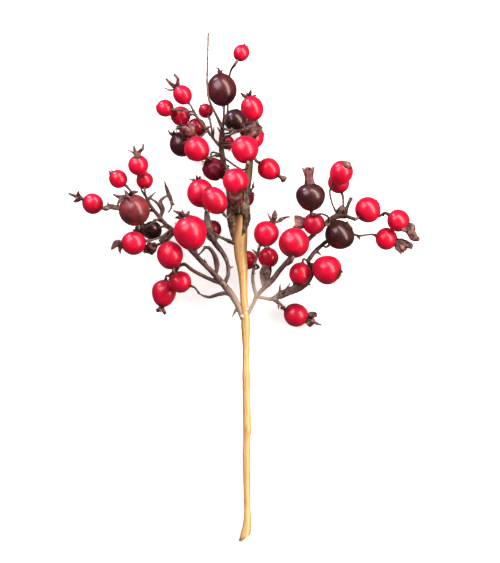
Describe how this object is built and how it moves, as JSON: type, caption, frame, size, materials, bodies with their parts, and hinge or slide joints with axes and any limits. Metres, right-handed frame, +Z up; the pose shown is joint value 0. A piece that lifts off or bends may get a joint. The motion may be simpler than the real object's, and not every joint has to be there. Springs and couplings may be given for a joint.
{
  "type": "rose hip sprig",
  "caption": "Cut sprig of rose hips lying on a surface: straight pale stem, three sprays of brown thorny twigs, glossy red and dark hips with dried sepals.",
  "frame": {"origin": "on the surface that the sprig lies on, under the middle of its bounding box", "axes": "+Y along the stem from its cut end to the tip of the sprig, +Z up from the surface"},
  "size_m": [0.2111, 0.3068, 0.0511],
  "materials": {
    "peeled_stem": "peeled, matt, straw-coloured",
    "twig_bark": "rough brown bark",
    "red_hip": "waxy gloss",
    "deep_red_hip": "waxy gloss",
    "maroon_hip": "waxy gloss",
    "black_hip": "waxy gloss"
  },
  "bodies": {
    "root": {"stem": "peeled_stem", "twig_left": "twig_bark", "twig_right": "twig_bark", "twig_centre": "twig_bark", "hip_left_01": "red_hip", "hip_left_02": "red_hip", "hip_left_03": "red_hip", "hip_left_04": "red_hip", "hip_left_05": "maroon_hip", "hip_left_06": "black_hip", "hip_left_07": "red_hip", "hip_left_08": "red_hip", "hip_left_09": "red_hip", "hip_left_10": "red_hip", "hip_left_11": "red_hip", "hip_left_12": "deep_red_hip", "hip_left_13": "maroon_hip", "hip_left_14": "red_hip", "hip_left_15": "black_hip", "hip_right_01": "black_hip", "hip_right_02": "red_hip", "hip_right_03": "red_hip", "hip_right_04": "red_hip", "hip_right_05": "red_hip", "hip_right_06": "red_hip", "hip_right_07": "black_hip", "hip_right_08": "deep_red_hip", "hip_right_09": "red_hip", "hip_right_10": "red_hip", "hip_right_11": "deep_red_hip", "hip_right_12": "deep_red_hip", "hip_right_13": "red_hip", "hip_right_14": "red_hip", "hip_right_15": "red_hip", "hip_centre_01": "red_hip", "hip_centre_02": "maroon_hip", "hip_centre_03": "red_hip", "hip_centre_04": "red_hip", "hip_centre_05": "red_hip", "hip_centre_06": "red_hip", "hip_centre_07": "red_hip", "hip_centre_08": "black_hip", "hip_centre_09": "maroon_hip", "hip_centre_10": "red_hip", "hip_centre_11": "deep_red_hip", "hip_centre_12": "maroon_hip", "hip_centre_13": "maroon_hip", "hip_centre_14": "red_hip", "hip_centre_15": "deep_red_hip", "hip_centre_16": "red_hip", "hip_centre_17": "red_hip", "hip_centre_18": "red_hip", "hip_centre_19": "deep_red_hip", "hip_centre_20": "red_hip", "hip_centre_21": "deep_red_hip", "hip_centre_22": "maroon_hip"}
  },
  "joints": []
}
